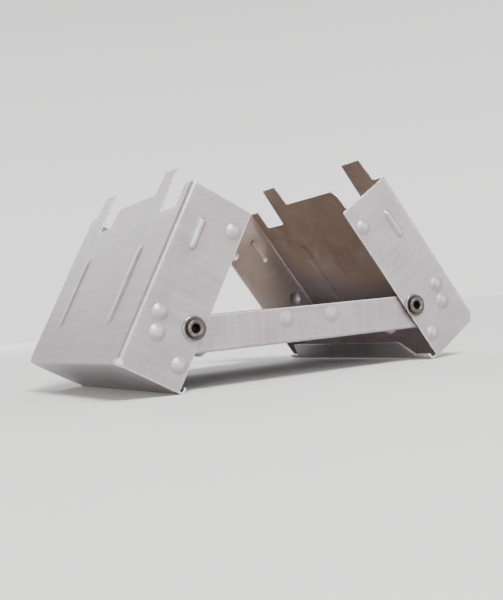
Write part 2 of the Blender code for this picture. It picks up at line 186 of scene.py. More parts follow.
# the colour towards which the washer is painted darker beside the rivet
WASHER_DARKENED = (0.03, 0.025, 0.022)
# lighter rim: partly wear, partly a painted highlight on the washer's chamfer
WORN_AND_HIGHLIGHT_RIM = (0.62, 0.58, 0.56)
FUEL_WHITE = (0.86, 0.86, 0.84)
FUEL_YELLOWED = (0.79, 0.77, 0.70)
FUEL_PIT = (0.55, 0.52, 0.45)
PAPER = ((0.70, 0.697, 0.69), (0.73, 0.727, 0.72))
BLACK = (0.0, 0.0, 0.0)
BACKDROP = (1.0, 0.995, 0.985)
KEY_TINT = (1.0, 0.99, 0.98)
BACK_TINT = (0.98, 0.99, 1.0)

# Stage and camera
HORIZON = 1.7  # brightness of the backdrop where it meets the floor
ZENITH = 0.2
SKY_FADE = 0.9  # height of the direction at which the backdrop reaches its least brightness
FLOOR_RADIUS = 6.0
FLOOR_FADE = (0.3, 1.6)  # metres from the middle over which the floor fades into the backdrop
AZIMUTH = math.radians(27.6)
ELEVATION = math.radians(-0.9)
ROLL = math.radians(5.6)
DISTANCE = 0.2775
LOOK_ABOVE_HINGES = 8.0
LENS = 56.7213
SENSOR = 36.0

joints = {joint["name"]: joint for joint in frame["joints"]}
HINGE_HEIGHT = joints["left_wing_fold"]["pos_m"][2] / MM

# Outlines


def rounded(corners, radius, steps=CORNER_STEPS):
    """The polygon with each corner replaced by an arc-like run, smaller where a side is short."""
    points = []
    for i, corner in enumerate(corners):
        before = Vector(corners[i - 1]) - Vector(corner)
        after = Vector(corners[(i + 1) % len(corners)]) - Vector(corner)
        cut = min(radius, before.length * 0.45, after.length * 0.45)
        start = Vector(corner) + before.normalized() * cut
        end = Vector(corner) + after.normalized() * cut
        for k in range(steps + 1):
            t = k / steps
            points.append((1 - t) ** 2 * start + 2 * t * (1 - t) * Vector(corner) + t**2 * end)
    return points


def around(start, end, radius, steps=RING_STEPS):
    """A closed line at one distance from the stretch from start to end: a circle if they are one point."""
    start, end = Vector(start), Vector(end)
    along = math.atan2(end.y - start.y, end.x - start.x) if start != end else 0.0
    points = []
    for k in range(steps):
        angle = along - math.pi / 2 + 2 * math.pi * (k + 0.5) / steps
        centre = end if k < steps / 2 else start
        points.append(centre + radius * Vector((math.cos(angle), math.sin(angle))))
    return points


def offset(loop, distance):
    """The closed line moved sideways, to its left where distance is positive."""
    moved = []
    for i, p in enumerate(loop):
        a = (p - loop[i - 1]).normalized()
        b = (loop[(i + 1) % len(loop)] - p).normalized()
        along = (a + b).normalized() if (a + b).length > 1e-6 else b
        moved.append(p + distance * Vector((-along.y, along.x)))
    return moved


def inside(loop, points):
    """Whether the closed line holds each of the points."""
    held = np.zeros(len(points), bool)
    corners = np.array(loop)
    x, y = points[:, 0], points[:, 1]
    for (px, py), (qx, qy) in zip(corners, np.roll(corners, 1, axis=0)):
        if py == qy:
            continue
        crosses = (py > y) != (qy > y)
        held ^= crosses & (x < px + (y - py) * (qx - px) / (qy - py))
    return held


def distance_to(loops, points):
    """Each point's distance to the nearest of the closed lines."""
    best = np.full(len(points), np.inf)
    for loop in loops:
        corners = np.array(loop)
        for a, b in zip(corners, np.roll(corners, 1, axis=0)):
            along = b - a
            share = np.clip((points - a) @ along / max(along @ along, 1e-12), 0, 1)
            best = np.minimum(best, np.linalg.norm(points - a - share[:, None] * along, axis=1))
    return best


# Stamped and folded sheet


class Fold:
    """The section of a sheet that leaves a flat panel: bends of a radius, each followed by a flat run."""

    def __init__(self, *bends):
        self.bends = bends

    def length(self):
        return sum(radius * math.pi / 2 + flat for radius, flat in self.bends)

    def lines(self):
        """Distances from the panel at which the blank needs a line, so that it can bend there."""
        found, s = [], 0.0
        for radius, flat in self.bends:
            arc = radius * math.pi / 2
            found.append(s - FOLD_WEAR_AND_HIGHLIGHT)
            found += [s + arc * k / BEND_STEPS for k in range(BEND_STEPS + 1)]
            found.append(s + arc + FOLD_WEAR_AND_HIGHLIGHT)
            s += arc + flat
        return found

    def nearness(self, at):
        """1 on an arc, easing off to 0 beside it, at this distance from the panel."""
        found, s = 0.0, 0.0
        for radius, flat in self.bends:
            arc = radius * math.pi / 2
            outside = max(s - at, at - s - arc, 0.0)
            found = max(found, 1.0 - outside / FOLD_WEAR_AND_HIGHLIGHT)
            s += arc + flat
        return found

    def point(self, s, inset):
        """(away, down) of the point s along the outer skin and inset below it."""
        away, down, heading = 0.0, 0.0, 0.0
        for radius, flat in self.bends:
            turn = min(max(s / radius, 0.0), math.pi / 2)
            sine, cosine = math.sin(turn), math.cos(turn)
            ahead, aside = radius * sine, radius * (1 - cosine)
            away += ahead * math.cos(heading) - aside * math.sin(heading)
            down += ahead * math.sin(heading) + aside * math.cos(heading)
            heading += turn
            s -= radius * math.pi / 2
            run = min(max(s, 0.0), flat)
            away += run * math.cos(heading)
            down += run * math.sin(heading)
            s -= flat
            if s <= 0:
                break
        return away - inset * math.sin(heading), down + inset * math.cos(heading)


class Blank:
    """A flat blank, with its stampings and folds. u and v are flat coordinates, in millimetres."""

    def __init__(self, outline, side_line, side_fold, low_line, low_fold, high_line=None, high_fold=None):
        self.outline = outline
        self.side_line, self.side_fold = side_line, side_fold
        self.side_start = min(p.x for p in outline if abs(p.y) > side_line + side_fold.bends[0][0] * 2)
        self.low_line, self.low_fold = low_line, low_fold
        self.high_line, self.high_fold = high_line, high_fold
        self.stampings = []
        self.holes = []

    def stamp(self, start, end, radius, rise):
        """Presses a dimple, or a bead where start and end differ, towards the outer skin."""
        self.stampings.append((Vector(start), Vector(end), radius, rise))

    def punch(self, centre, radius):
        self.holes.append(around(centre, centre, radius, HOLE_STEPS))

    def on_side(self, depth):
        """v of a point on a side wall, that far below the panel's outer skin."""
        radius = self.side_fold.bends[0][0]
        return self.side_line + radius * math.pi / 2 + depth - radius

    def relief_at(self, point):
        """(how far the stampings push the sheet out there, distance to the nearest one in its radii)."""
        total, nearest_share = 0.0, math.inf
        for start, end, radius, rise in self.stampings:
            nearest = start
            if start != end:
                share = (point - start).dot(end - start) / (end - start).length_squared
                nearest = start.lerp(end, min(max(share, 0.0), 1.0))
            t = (point - nearest).length / radius
            nearest_share = min(nearest_share, t)
            if t < 1:
                total += rise * (1 - t * t) ** CROWN
        return total, nearest_share

    def bend_at(self, point):
        """1 on a fold's arc, easing off to 0 a little way beside it."""
        u, v = point
        if abs(v) > self.side_line and u > self.side_start - 0.01:
            return self.side_fold.nearness(abs(v) - self.side_line)
        away = abs(abs(v) - self.side_line) if u > self.side_start else math.inf
        nearness = [1.0 - away / FOLD_WEAR_AND_HIGHLIGHT]
        nearness.append(self.low_fold.nearness(self.low_line - u))
        if self.high_fold:
            nearness.append(self.high_fold.nearness(u - self.high_line))
        return max(0.0, *nearness)

    def place(self, point, inset):
        """Where the folded sheet has this point of the blank: x, y, and z down from the panel's skin."""
        u, v = point
        inset -= self.relief_at(point)[0]
        if abs(v) > self.side_line and u > self.side_start - 0.01:
            away, down = self.side_fold.point(abs(v) - self.side_line, inset)
            return u, math.copysign(self.side_line + away, v), down
        if u < self.low_line:
            away, down = self.low_fold.point(self.low_line - u, inset)
            return self.low_line - away, v, down
        if self.high_fold and u > self.high_line:
            away, down = self.high_fold.point(u - self.high_line, inset)
            return self.high_line + away, v, down
        return u, v, inset

    def bend_lines(self):
        """Lines across the blank, each as two points, along which it bends."""
        far = 2 * HALF_LENGTH
        lines = []
        for s in self.side_fold.lines():
            for side in (-1, 1):
                v = side * (self.side_line + s)
                lines.append((Vector((self.side_start, v)), Vector((far, v))))
        across = self.side_line + self.side_fold.bends[0][0]
        for line, fold, way in ((self.low_line, self.low_fold, -1), (self.high_line, self.high_fold, 1)):
            for s in fold.lines() if fold else ():
                u = line + way * s
                lines.append((Vector((u, -across)), Vector((u, across))))
        return lines

    def triangles(self):
        """Points and triangles of the blank, fine enough for its bends, stampings and worn edges."""
        cut = [self.outline, *self.holes]
        loops = list(cut)
        area = sum(p.cross(q) for p, q in zip(self.outline, self.outline[1:] + self.outline[:1]))
        for loop in cut:
            # Left of an anticlockwise line lies the sheet for the outline, and the hole for a hole.
            way = math.copysign(1, area) if loop is self.outline else -1
            loops += [offset(loop, way * band) for band in EDGE_BANDS]
        for start, end, radius, _ in self.stampings:
            loops += [around(start, end, radius * share) for share in RING_SHARES]
        points, edges = [], []
        for loop in loops:
            first = len(points)
            points += loop
            edges += [(first + k, first + (k + 1) % len(loop)) for k in range(len(loop))]
        for start, end in self.bend_lines():
            steps = math.ceil((end - start).length / GRID)
            edges += [(len(points) + k, len(points) + k + 1) for k in range(steps)]
            points += [start.lerp(end, k / steps) for k in range(steps + 1)]
        for start, end, _, _ in self.stampings:
            steps = 0 if start == end else BEAD_STEPS
            points += [start.lerp(end, k / BEAD_STEPS) for k in range(steps + 1)]
        low, high = np.min(self.outline, axis=0), np.max(self.outline, axis=0)
        columns, rows = (np.arange(start, stop, GRID) for start, stop in zip(low, high))
        grid = [Vector((x, y)) for x in columns for y in rows]
        clear = distance_to(cut, np.array(grid)) > GRID_FROM_EDGE
        points += [p for p, kept in zip(grid, clear) if kept and self.relief_at(p)[1] > GRID_FROM_STAMPING]
        points, _, faces, *_ = geometry.delaunay_2d_cdt(points, edges, [], 0, 1e-5)
        middles = np.array([sum((points[i] for i in face), Vector((0, 0))) / len(face) for face in faces])
        kept = inside(self.outline, middles)
        for hole in self.holes:
            kept &= ~inside(hole, middles)
        return points, [face for face, keep in zip(faces, kept) if keep], cut

    def mesh(self, name, to_object):
        """The folded sheet as a closed mesh, with its flat coordinates and the masks for its wear, painted
        fold highlight and painted shade as attributes.
        """
        points, faces, cut = self.triangles()
        to_edge = distance_to(cut, np.array(points))
        sheet = bmesh.new()
        flat_layer = sheet.verts.layers.float_vector.new("flat")
        edge_layer = sheet.verts.layers.float.new("edge")
        dome_layer = sheet.verts.layers.float.new("dome")
        fold_layer = sheet.verts.layers.float.new("fold")
        flat = [sheet.verts.new((p.x, p.y, 0.0)) for p in points]
        for vert, away in zip(flat, to_edge):
            vert[edge_layer] = min(away, EDGE_LIMIT)
            vert[dome_layer] = min(self.relief_at(vert.co.xy)[1], DOME_LIMIT)
            vert[fold_layer] = self.bend_at(vert.co.xy)
        for face in faces:
            sheet.faces.new([flat[i] for i in face])
        bmesh.ops.delete(sheet, geom=[v for v in sheet.verts if not v.link_faces], context="VERTS")
        grown = bmesh.ops.extrude_face_region(sheet, geom=sheet.faces[:], use_keep_orig=True)
        inner = {v for v in grown["geom"] if isinstance(v, bmesh.types.BMVert)}
        for v in sheet.verts:
            eased = EDGE_BREAK if v[edge_layer] < 1e-3 else 0.0
            depth = SHEET - eased if v in inner else eased
            v[flat_layer] = (v.co.x, v.co.y, depth)
            v.co = to_object @ (Vector(self.place(v.co.xy, depth)) * MM)
        bmesh.ops.recalc_face_normals(sheet, faces=sheet.faces[:])
        mesh = bpy.data.meshes.new(name)
        sheet.to_mesh(mesh)
        sheet.free()
        return mesh


def top_edge():
    """The wing's top edge from back to front, as (reach, y). Each half has one tab and one notch."""
    inner, middle, outer = SLOT_EDGES
    low = WING_REACH - TAB_RISE
    high = HALF_LENGTH + TAB_RISE
    gap, taper = TAB_CLEARANCE, TAB_TAPER
    down, along = SLOT_CHAMFER
    return [
        (WING_REACH, outer - gap),
        (high, outer - gap - taper),
        (high, middle + gap),
        (low, middle + gap / 2),
        (low, inner),
        (WING_REACH - down, inner - taper),
        (WING_REACH, inner - taper - along),
        (WING_REACH, -inner - gap),
        (high, -inner - gap - taper),
        (high, -middle + gap + taper),
        (low, -middle + gap / 2),
        (low, -outer),
        (WING_REACH, -outer),
    ]


def wing_blank():
    """The flat blank of one wing. u is the distance from the end wall, and v goes across the wing."""
    panel = WING_HALF_WIDTH - SIDE_BEND
    side_fold = Fold((SIDE_BEND, SIDE_DEPTH - SIDE_BEND))
    foot_fold = Fold((END_BEND, FOOT_DEPTH - END_BEND - FOOT_BEND), (FOOT_BEND, FLAP_RISE - FOOT_BEND))
    free = panel + side_fold.length()
    wall = panel + SIDE_BEND * math.pi / 2
    relief = CORNER_RELIEF
    end_half = WING_HALF_WIDTH - SHEET - FOOT_GAP
    tip = END_BEND - foot_fold.length()
    strip = tip + FLAP_RISE - FLAP_STRIP
    below_bend = END_BEND * (1 - math.pi / 2) - relief
    side = [
        (END_BEND + relief, panel - relief),
        (END_BEND + relief, wall),
        (0.0, wall + relief),
        (0.0, free),
        (WING_REACH, free),
    ]
    foot = [
        (below_bend, -panel + relief),
        (below_bend - relief, -end_half),
        (strip, -end_half),
        (strip, FLAP_ENDS[0][0]),
        (tip, FLAP_ENDS[0][1]),
        (tip, FLAP_ENDS[1][1]),
        (strip, FLAP_ENDS[1][0]),
        (strip, end_half),
        (below_bend - relief, end_half),
        (below_bend, panel - relief),
    ]
    outline = foot + side + top_edge() + [(u, -v) for u, v in reversed(side)]
    blank = Blank(rounded(outline, CORNER_RADIUS), panel, side_fold, END_BEND, foot_fold)
    for side in (-1, 1):
        hinge = Vector((HINGE_FROM_END, side * blank.on_side(HINGE_DEPTH)))
        blank.punch(hinge, RIVET_RADIUS + RIVET_CLEARANCE)
        for opened in DETENT_OPENINGS:
            angle = math.radians(180 + side * opened)
            spot = hinge + DETENT_RADIUS * Vector((math.cos(angle), math.sin(angle)))
            blank.stamp(spot, spot, DIMPLE_RADIUS, DIMPLE_RISE)
        latch = hinge + Vector((LATCH_REACH, 0.0))
        blank.stamp(latch, latch, DIMPLE_RADIUS, DIMPLE_RISE)
        rib = side * blank.on_side(RIB_DEPTH)
        blank.stamp(*((reach, rib) for reach in RIB_REACH), RIB_RADIUS, RIB_RISE)
        bead = side * PLATE_BEAD_OFFSET
        blank.stamp(*((reach, bead) for reach in PLATE_BEAD_REACH), PLATE_BEAD_RADIUS, PLATE_BEAD_RISE)
    return blank


def tray_blank():
    """The flat blank of the tray. u runs along it from the left, and v goes across it."""
    panel = TRAY_HALF_WIDTH - TRAY_BEND
    height = FLOOR_DROP + WALL_TOP
    side_fold = Fold((TRAY_BEND, height - TRAY_BEND))
    lip_fold = Fold((TRAY_BEND, LIP_RISE - TRAY_BEND))
    end = FLOOR_HALF_LENGTH - TRAY_BEND
    tip = end + lip_fold.length()
    free = panel + side_fold.length()
    arc_end = panel + TRAY_BEND * math.pi / 2
    ear = arc_end + EAR_RISE - TRAY_BEND
    quarter = [
        (tip, panel - LIP_TAPER),
        (end, panel - TRAY_RELIEF),
        (end, ear),
        (TRAY_HALF_LENGTH, ear),
        (TRAY_HALF_LENGTH, free),
    ]
    half = quarter + [(-u, v) for u, v in reversed(quarter)]
    outline = half + [(-u, -v) for u, v in half]
    blank = Blank(rounded(outline, CORNER_RADIUS), panel, side_fold, -end, lip_fold, end, lip_fold)
    level = blank.on_side(FLOOR_DROP)
    for side in (-1, 1):
        for end_sign in (-1, 1):
            hinge = Vector((end_sign * HINGE_X, side * level))
            blank.punch(hinge, RIVET_RADIUS + STACK_GAP)
            for reach in (DETENT_RADIUS, -LATCH_REACH):
                spot = hinge + Vector((end_sign * reach, 0.0))
                blank.stamp(spot, spot, DIMPLE_RADIUS, TRAY_DIMPLE_RISE)
            foot = (end_sign * TRAY_FOOT[0], side * TRAY_FOOT[1])
            blank.stamp(foot, foot, DIMPLE_RADIUS, TRAY_FOOT_RISE)
        bead = side * BEAD_OFFSET
        blank.stamp((-BEAD_HALF_LENGTH, bead), (BEAD_HALF_LENGTH, bead), BEAD_RADIUS, -BEAD_RISE)
    return blank


# Materials


class Shader:
    """A node material in the making. Numbers and sockets can be given alike."""

    def __init__(self, name):
        self.material = bpy.data.materials.new(name)
        self.material.use_nodes = True
        self.nodes = self.material.node_tree.nodes
        self.links = self.material.node_tree.links
        self.principled = self.nodes["Principled BSDF"]

    def put(self, socket, value):
        if isinstance(value, bpy.types.NodeSocket):
            self.links.new(value, socket)
        elif isinstance(value, (tuple, list)) and len(value) == 3 and socket.type == "RGBA":
            socket.default_value = (*value, 1.0)
        else:
            socket.default_value = value

    def node(self, kind, inputs=None, output=0, **settings):
        made = self.nodes.new(kind)
        for name, value in settings.items():
            setattr(made, name, value)
        for name, value in (inputs or {}).items():
            self.put(made.inputs[name], value)
        return made.outputs[output]

    def attribute(self, name, output="Vector"):
        return self.node("ShaderNodeAttribute", output=output, attribute_name=name)

    def mapped(self, vector, scale, turn=0.0, shift=(0, 0, 0)):
        return self.node(
            "ShaderNodeMapping",
            {"Vector": vector, "Scale": scale, "Rotation": (0, 0, math.radians(turn)), "Location": shift},
        )

    def noise(self, vector, scale=1.0, detail=3.0, roughness=0.55, distortion=0.0):
        return self.node(
            "ShaderNodeTexNoise",
            {
                "Vector": vector,
                "Scale": scale,
                "Detail": detail,
                "Roughness": roughness,
                "Distortion": distortion,
            },
        )

    def ramp(self, value, low, high, to_low=0.0, to_high=1.0):
        """value spread from low..high to to_low..to_high, eased and held at the ends."""
        return self.node(
            "ShaderNodeMapRange",
            {"Value": value, "From Min": low, "From Max": high, "To Min": to_low, "To Max": to_high},
            interpolation_type="SMOOTHSTEP",
        )

    def maths(self, operation, a, b=0.0, c=0.0):
        made = self.nodes.new("ShaderNodeMath")
        made.operation = operation
        for socket, value in zip(made.inputs, (a, b, c)):
            self.put(socket, value)
        return made.outputs[0]

    def mix(self, share, a, b, blend="MIX"):
        made = self.nodes.new("ShaderNodeMix")
        made.data_type = "RGBA"
        made.blend_type = blend
        self.put(made.inputs[0], share)
        self.put(made.inputs[6], a)
        self.put(made.inputs[7], b)
        return made.outputs[2]

    def swing(self, texture, depth):
        """1 at the texture's middle, and half the depth more or less at its ends."""
        return self.maths("MULTIPLY_ADD", texture, depth, 1 - depth / 2)

    def shaded(self, colour, shade):
        """The colour multiplied by a grey."""
        grey = self.node("ShaderNodeCombineColor", {"Red": shade, "Green": shade, "Blue": shade})
        return self.mix(1.0, colour, grey, "MULTIPLY")

    def bump(self, height, strength, distance, normal=None):
        inputs = {"Height": height, "Strength": strength, "Distance": distance}
        if normal is not None:
            inputs["Normal"] = normal
        return self.node("ShaderNodeBump", inputs)

    def finish(self, **inputs):
        for name, value in inputs.items():
            self.put(self.principled.inputs[name.replace("_", " ")], value)
        return self.material


def sheet_steel(name, tone):
    """Zinc-plated sheet: rolling lines, cloudy zinc, worn edges, rubbed domes, folds rubbed and lightened
    as a painted highlight, a dark ring of painted shade and grime at each stamping's foot, heat tint near
    the flame.
    """
    s = Shader(name)
    flat = s.attribute("flat")
    edge, dome, fold, hot = (s.attribute(wear, "Fac") for wear in ("edge", "dome", "fold", "warmth"))
    depth = s.node("ShaderNodeSeparateXYZ", {"Vector": flat}, output=2)
    inner = s.ramp(depth, 0.4 * SHEET, 0.8 * SHEET)
    lines = s.noise(s.mapped(flat, (2.8, 0.07, 1.0)), 1.0, 5.0, 0.65)
    broad = s.noise(s.mapped(flat, (0.5, 0.02, 1.0)), 1.0, 3.0, 0.55)
    cloud = s.noise(flat, 0.11, 5.0, 0.6, 0.3)
    drift = s.noise(s.mapped(flat, (1.0, 1.0, 1.0), 0.0, (40.0, 7.0, 0.0)), 0.06, 2.0, 0.5)
    fine = s.noise(flat, 1.3, 4.0, 0.65)
    grit = s.noise(flat, 4.5, 2.0, 0.5)
    scratches = None
    for turn, shift in ((34, 3.0), (-21, 11.0), (78, 23.0)):
        run = s.noise(s.mapped(flat, (0.07, 3.2, 1.0), turn, (shift, shift, 0)), 1.0, 2.0, 0.5)
        line = s.ramp(run, 0.70, 0.74)
        scratches = line if scratches is None else s.maths("MAXIMUM", scratches, line)
    patchy = s.ramp(s.noise(flat, 0.5, 3.0, 0.6), 0.3, 0.65, 0.45, 1.0)
    brightened = s.maths("MULTIPLY", s.ramp(edge, 0.4, 0.0, 0.0, 0.65), patchy)
    rubbed = s.maths("MULTIPLY", s.ramp(dome, 0.6, 0.0, 0.0, 0.26), patchy)
    # Along each fold's arc the zinc is lightened: partly wear, partly a painted highlight.
    fold_wear_and_highlight = s.maths("MULTIPLY", s.ramp(fold, 0.1, 1.0, 0.0, 0.08), patchy)
    outside = s.maths("SUBTRACT", 1.0, inner)
    bright = s.maths("MAXIMUM", brightened, s.maths("MULTIPLY", s.maths("MAXIMUM", rubbed, fold_wear_and_highlight), outside))
    # A dark ring at each stamping's foot: painted shade in the crease, with some grime.
    darkening = s.ramp(s.maths("ABSOLUTE", s.maths("SUBTRACT", dome, 1.0)), 0.22, 0.0, 0.0, 0.24)
    shade = s.swing(lines, 0.40)
    for texture, swing in ((broad, 0.40), (cloud, 0.50), (fine, 0.24), (grit, 0.14)):
        shade = s.maths("MULTIPLY", shade, s.swing(texture, swing))
    colour = s.shaded(tone, shade)
    colour = s.mix(s.ramp(drift, 0.42, 0.62), colour, WARM_ZINC, "MULTIPLY")
    colour = s.mix(s.ramp(drift, 0.55, 0.38), colour, COOL_ZINC, "MULTIPLY")
    # Lighter where worn at the edges and domes, and along the folds as a painted highlight.
    colour = s.mix(bright, colour, WORN_AND_HIGHLIGHT_ZINC)
    colour = s.mix(s.maths("MULTIPLY", scratches, 0.25), colour, SCRATCHED_ZINC)
    colour = s.mix(darkening, colour, SHEET_GRIME_AND_SHADE)
    place = s.node("ShaderNodeTexCoord", output="Object")
    flecks = s.noise(place, 90.0, 4.0, 0.6, 0.4)
    amount = s.maths("MULTIPLY_ADD", s.maths("SUBTRACT", flecks, 0.5), 0.5, hot)
    amount = s.maths("MULTIPLY", amount, s.ramp(edge, 0.0, 0.35, 0.1, 1.0))
    tinted = s.maths("MULTIPLY", amount, s.maths("MULTIPLY_ADD", inner, 0.88, 0.12))
    for start, full, share, tint in HEAT_TINTS:
        colour = s.mix(s.ramp(tinted, start, full, 0.0, share), colour, tint)
    rough = s.maths("MULTIPLY_ADD", cloud, 0.22, 0.29)
    rough = s.maths("MULTIPLY_ADD", lines, 0.10, rough)
    rough = s.maths("MULTIPLY_ADD", tinted, 0.15, rough)
    normal = s.bump(lines, 0.22, 0.000012)
    normal = s.bump(cloud, 0.35, 0.00012, normal)
    normal = s.bump(fine, 0.12, 0.00002, normal)
    normal = s.bump(s.maths("SUBTRACT", 1.0, scratches), 0.25, 0.00001, normal)
    return s.finish(Base_Color=colour, Roughness=rough, Metallic=0.8, Normal=normal)


def turned_steel(name, tone, dark, roughness, ring_scale, rim):
    """Rivet or washer steel: rings left by forming, darker in the bore and at the foot, a rim worn and
    painted lighter as a highlight.
    """
    s = Shader(name)
    place = s.attribute("turned")
    radius, out = (s.node("ShaderNodeSeparateXYZ", {"Vector": place}, output=k) for k in range(2))
    rings = s.noise(s.node("ShaderNodeCombineXYZ", {"X": radius, "Y": out, "Z": 0.0}), ring_scale, 3.0, 0.6)
    spots = s.noise(s.node("ShaderNodeTexCoord", output="Object"), 900.0, 4.0, 0.6)
    # How much darker the steel is painted, from the turned piece's darkening attribute.
    darkening = s.attribute("darkening", "Fac")
    darkening = s.ramp(s.maths("MULTIPLY_ADD", s.maths("SUBTRACT", spots, 0.5), 0.8, darkening), 0.15, 0.95)
    colour = s.shaded(tone, s.maths("MULTIPLY", s.swing(rings, 0.30), s.swing(spots, 0.24)))
    colour = s.mix(darkening, colour, dark)
    # The rim is worn and painted lighter, partly as a highlight, so that the chamfer shows a bright
    # crescent.
    at_rim = s.ramp(radius, rim - 0.28, rim - 0.05)
    brightened = s.maths("MULTIPLY", at_rim, s.ramp(spots, 0.3, 0.6, 0.35, 0.9))
    colour = s.mix(brightened, colour, WORN_AND_HIGHLIGHT_RIM)
    rough = s.maths("MULTIPLY_ADD", darkening, 0.35, s.maths("MULTIPLY_ADD", spots, 0.14, roughness - 0.07))
    normal = s.bump(rings, 0.25, 0.00002)
    normal = s.bump(spots, 0.20, 0.00002, normal)
    return s.finish(Base_Color=colour, Roughness=rough, Metallic=1.0, Normal=normal)


def pressed_fuel(name):
    """Chalky white tablet: pressed grains, small pits, slightly yellowed patches."""
    s = Shader(name)
    place = s.node("ShaderNodeTexCoord", output="Object")
    grain_places = {"Vector": place, "Scale": 1500.0, "Randomness": 1.0}
    grains = s.node("ShaderNodeTexVoronoi", grain_places, output="Distance")
    cloud = s.noise(place, 160.0, 4.0, 0.6)
    crumbs = s.noise(place, 700.0, 5.0, 0.65)
    pits = s.ramp(crumbs, 0.36, 0.27)
    colour = s.mix(s.ramp(cloud, 0.35, 0.7), FUEL_WHITE, FUEL_YELLOWED)
    colour = s.mix(s.maths("MULTIPLY", pits, 0.4), colour, FUEL_PIT)
    rough = s.maths("MULTIPLY_ADD", crumbs, 0.15, 0.72)
    normal = s.bump(grains, 0.35, 0.00008)
    normal = s.bump(crumbs, 0.55, 0.00018, normal)
    return s.finish(
        Base_Color=colour, Roughness=rough, Normal=normal, Subsurface_Weight=0.12, Subsurface_Scale=0.002,
    )


def studio_floor():
    """Pale paper, which fades into the backdrop with distance, so that no edge shows where they meet."""
    s = Shader("studio_floor")
    place = s.node("ShaderNodeTexCoord", output="Object")
    cloud = s.noise(place, 3.0, 3.0, 0.5)
    grain = s.noise(place, 900.0, 2.0, 0.5)
    away = s.node("ShaderNodeVectorMath", {0: place}, output="Value", operation="LENGTH")
    far = s.ramp(away, *FLOOR_FADE)
    colour = s.mix(cloud, *PAPER)
    colour = s.mix(far, colour, BLACK)
    glow = s.maths("MULTIPLY", far, HORIZON)
    return s.finish(
        Base_Color=colour, Roughness=0.9, Specular_IOR_Level=0.0, Normal=s.bump(grain, 0.05, 0.0001),
        Emission_Color=BACKDROP, Emission_Strength=glow,
    )


# Pieces


def show(mesh, material, body, nodes, location, turn):
    """Adds one piece, which stands for CAD nodes and moves with a body."""
    mesh.shade_smooth()
    mesh.set_sharp_from_angle(angle=SHARP)
    mesh.materials.append(material)
    piece = bpy.data.objects.new(mesh.name, mesh)
    bpy.context.scene.collection.objects.link(piece)
    mesh.transform(Matrix.Translation(Vector(location) * MM) @ turn.to_4x4())
    weighted = piece.modifiers.new("even_flats", "WEIGHTED_NORMAL")
    weighted.mode = "FACE_AREA"
    weighted.weight = 50
    weighted.keep_sharp = True
    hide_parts(*nodes)
    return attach(piece, body)


def add_heat(mesh):
    """Stores how hot each point gets beside the flame, which stands over the middle of the tray."""
    attribute = mesh.attributes.new("warmth", "FLOAT", "POINT")
    co = np.zeros(len(mesh.vertices) * 3)
    mesh.vertices.foreach_get("co", co)
    co = co.reshape(-1, 3) / MM
    rise = co[:, 2] - HINGE_HEIGHT
    beside = np.hypot(co[:, 0], co[:, 1] * ACROSS_SHARE) - FLAME_RADIUS
    below = np.minimum(rise - FLAME_FOOT, 0.0) * BELOW_SHARE
    heat = np.clip(HEAT_AT_FLAME - np.hypot(beside, below) / HEAT_REACH, 0.0, 1.0)
    attribute.data.foreach_set("value", heat.astype(np.float32))


def add_wing(side_name, side, material):
    to_hinge = Matrix.Translation(Vector((-HINGE_FROM_END, 0, HINGE_DEPTH)) * MM)
    upright = Matrix.Diagonal((1, 1, -1, 1))
    wing = f"{side_name}_wing"
    mesh = wing_blank().mesh(f"{wing}_sheet", to_hinge @ upright)
    facing = Matrix.Rotation(math.pi if side > 0 else 0.0, 3, "Z")
    turn = Matrix.Rotation(side * OPENED[side_name], 3, "Y") @ facing
    at = (side * HINGE_X, 0, HINGE_HEIGHT)
    piece = show(mesh, material, wing, [wing], at, turn)
    add_heat(mesh)
    return piece


def add_tray(material):
    to_hinge_line = Matrix.Translation(Vector((0, 0, -FLOOR_DROP)) * MM)
    mesh = tray_blank().mesh("tray_sheet", to_hinge_line)
    at = (0, 0, HINGE_HEIGHT)
    piece = show(mesh, material, "tray", ["base_tray"], at, Matrix.Identity(3))
    add_heat(mesh)
    return piece


def turned(name, profile, darkening, closed):
    """A solid turned about Y, from points (distance out, radius), with its place on the turn and how much
    darker it is painted as attributes.
    """
    ring = bmesh.new()
    corners = [ring.verts.new((radius * MM, out * MM, 0.0)) for out, radius in profile]
    pairs = list(zip(corners, corners[1:])) + ([(corners[-1], corners[0])] if closed else [])
    sides = [ring.edges.new(pair) for pair in pairs]
    bmesh.ops.spin(
        ring, geom=corners + sides, cent=(0, 0, 0), axis=(0, 1, 0), angle=2 * math.pi, steps=TURN_STEPS,
        use_merge=True,
    )
    bmesh.ops.remove_doubles(ring, verts=ring.verts[:], dist=SAME_POINT)
    bmesh.ops.recalc_face_normals(ring, faces=ring.faces[:])
    place = ring.verts.layers.float_vector.new("turned")
    dirt = ring.verts.layers.float.new("darkening")
    for v in ring.verts:
        radius = math.hypot(v.co.x, v.co.z) / MM
        v[place] = (radius, v.co.y / MM, math.atan2(v.co.z, v.co.x))
        v[dirt] = darkening(radius, v.co.y / MM)
    mesh = bpy.data.meshes.new(name)
    ring.to_mesh(mesh)
    ring.free()
    return mesh


